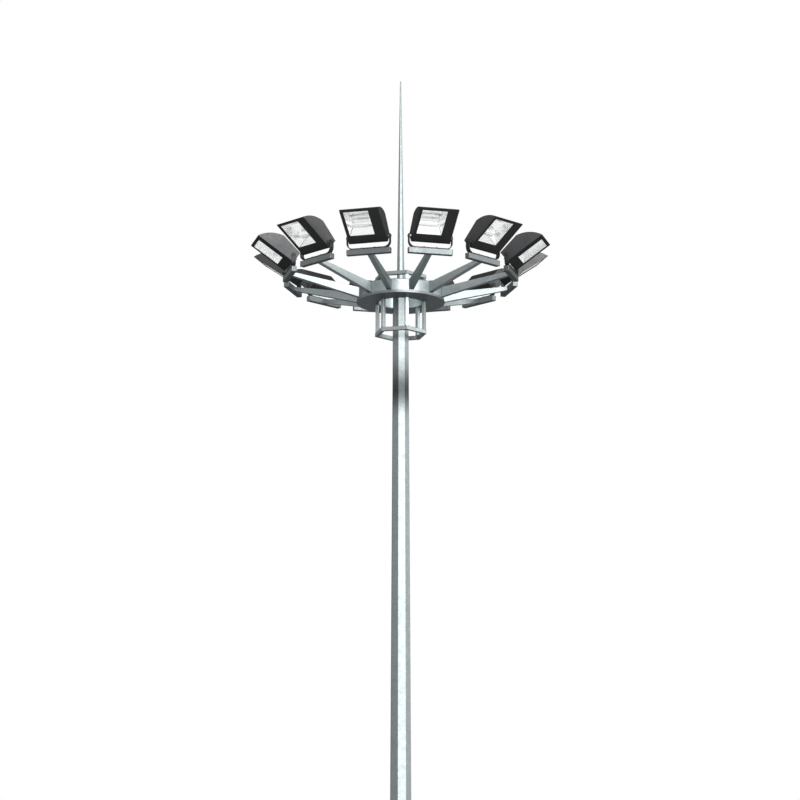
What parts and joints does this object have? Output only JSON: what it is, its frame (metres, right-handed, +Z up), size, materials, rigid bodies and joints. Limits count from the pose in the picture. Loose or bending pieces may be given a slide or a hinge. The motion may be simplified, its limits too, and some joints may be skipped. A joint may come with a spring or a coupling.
{
  "type": "high mast floodlight tower",
  "caption": "Tapered octagonal steel mast with a ring of tilting floodlights on a hoisted carriage, hexagonal guide cage and a lightning spire, on a bolted base flange.",
  "frame": {"origin": "centre of the base flange's underside, at ground level", "axes": "+Z up along the mast; a floodlight arm points along +X"},
  "size_m": [3.5768, 3.5768, 22.579],
  "materials": {
    "galvanised_steel": "satin hot-dip galvanised",
    "black_paint": "black powder coat, slightly glossy",
    "window_glass": "clear toughened glass",
    "reflector_sheet": "bright anodised folded sheet"
  },
  "bodies": {
    "mast": {"base_flange": "galvanised_steel", "base_gussets": "galvanised_steel", "mast_lower": "galvanised_steel", "mast_upper": "galvanised_steel", "access_door": "galvanised_steel", "head_cap": "galvanised_steel", "docking_arms": "galvanised_steel", "spire_flange": "galvanised_steel", "spire": "galvanised_steel"},
    "carriage": {"drum_bottom_pan": "galvanised_steel", "drum_outer_wall": "galvanised_steel", "drum_inner_wall": "galvanised_steel", "drum_top_plate": "galvanised_steel", "guide_ring_lower": "galvanised_steel", "guide_posts_lower": "galvanised_steel", "guide_posts_upper": "galvanised_steel", "guide_ring_upper": "galvanised_steel", "arms": "galvanised_steel", "crossbars": "galvanised_steel", "crossbar_ends": "galvanised_steel", "yokes": "black_paint"},
    "floodlight_01": {"floodlight_01_housing": "black_paint", "floodlight_01_glass": "window_glass", "floodlight_01_reflector": "reflector_sheet"},
    "floodlight_02": {"floodlight_02_housing": "black_paint", "floodlight_02_glass": "window_glass", "floodlight_02_reflector": "reflector_sheet"},
    "floodlight_03": {"floodlight_03_housing": "black_paint", "floodlight_03_glass": "window_glass", "floodlight_03_reflector": "reflector_sheet"},
    "floodlight_04": {"floodlight_04_housing": "black_paint", "floodlight_04_glass": "window_glass", "floodlight_04_reflector": "reflector_sheet"},
    "floodlight_05": {"floodlight_05_housing": "black_paint", "floodlight_05_glass": "window_glass", "floodlight_05_reflector": "reflector_sheet"},
    "floodlight_06": {"floodlight_06_housing": "black_paint", "floodlight_06_glass": "window_glass", "floodlight_06_reflector": "reflector_sheet"},
    "floodlight_07": {"floodlight_07_housing": "black_paint", "floodlight_07_glass": "window_glass", "floodlight_07_reflector": "reflector_sheet"},
    "floodlight_08": {"floodlight_08_housing": "black_paint", "floodlight_08_glass": "window_glass", "floodlight_08_reflector": "reflector_sheet"},
    "floodlight_09": {"floodlight_09_housing": "black_paint", "floodlight_09_glass": "window_glass", "floodlight_09_reflector": "reflector_sheet"},
    "floodlight_10": {"floodlight_10_housing": "black_paint", "floodlight_10_glass": "window_glass", "floodlight_10_reflector": "reflector_sheet"},
    "floodlight_11": {"floodlight_11_housing": "black_paint", "floodlight_11_glass": "window_glass", "floodlight_11_reflector": "reflector_sheet"},
    "floodlight_12": {"floodlight_12_housing": "black_paint", "floodlight_12_glass": "window_glass", "floodlight_12_reflector": "reflector_sheet"}
  },
  "joints": [
    {"name": "carriage_hoist", "type": "slide", "parent": "mast", "child": "carriage", "axis": [0, 0, 1], "range_m": [-17.8, 0]},
    {"name": "floodlight_01_tilt", "type": "hinge", "parent": "carriage", "child": "floodlight_01", "pos_m": [1.364, 0, 20.218], "axis": [0, -1, 0], "range_deg": [-35, 45]},
    {"name": "floodlight_02_tilt", "type": "hinge", "parent": "carriage", "child": "floodlight_02", "pos_m": [1.18126, 0.682, 20.218], "axis": [0.5, -0.866, 0], "range_deg": [-35, 45]},
    {"name": "floodlight_03_tilt", "type": "hinge", "parent": "carriage", "child": "floodlight_03", "pos_m": [0.682, 1.18126, 20.218], "axis": [0.866, -0.5, 0], "range_deg": [-35, 45]},
    {"name": "floodlight_04_tilt", "type": "hinge", "parent": "carriage", "child": "floodlight_04", "pos_m": [0, 1.364, 20.218], "axis": [1, 0, 0], "range_deg": [-35, 45]},
    {"name": "floodlight_05_tilt", "type": "hinge", "parent": "carriage", "child": "floodlight_05", "pos_m": [-0.682, 1.18126, 20.218], "axis": [0.866, 0.5, 0], "range_deg": [-35, 45]},
    {"name": "floodlight_06_tilt", "type": "hinge", "parent": "carriage", "child": "floodlight_06", "pos_m": [-1.18126, 0.682, 20.218], "axis": [0.5, 0.866, 0], "range_deg": [-35, 45]},
    {"name": "floodlight_07_tilt", "type": "hinge", "parent": "carriage", "child": "floodlight_07", "pos_m": [-1.364, 0, 20.218], "axis": [0, 1, 0], "range_deg": [-35, 45]},
    {"name": "floodlight_08_tilt", "type": "hinge", "parent": "carriage", "child": "floodlight_08", "pos_m": [-1.18126, -0.682, 20.218], "axis": [-0.5, 0.866, 0], "range_deg": [-35, 45]},
    {"name": "floodlight_09_tilt", "type": "hinge", "parent": "carriage", "child": "floodlight_09", "pos_m": [-0.682, -1.18126, 20.218], "axis": [-0.866, 0.5, 0], "range_deg": [-35, 45]},
    {"name": "floodlight_10_tilt", "type": "hinge", "parent": "carriage", "child": "floodlight_10", "pos_m": [0, -1.364, 20.218], "axis": [-1, 0, 0], "range_deg": [-35, 45]},
    {"name": "floodlight_11_tilt", "type": "hinge", "parent": "carriage", "child": "floodlight_11", "pos_m": [0.682, -1.18126, 20.218], "axis": [-0.866, -0.5, 0], "range_deg": [-35, 45]},
    {"name": "floodlight_12_tilt", "type": "hinge", "parent": "carriage", "child": "floodlight_12", "pos_m": [1.18126, -0.682, 20.218], "axis": [-0.5, -0.866, 0], "range_deg": [-35, 45]}
  ]
}
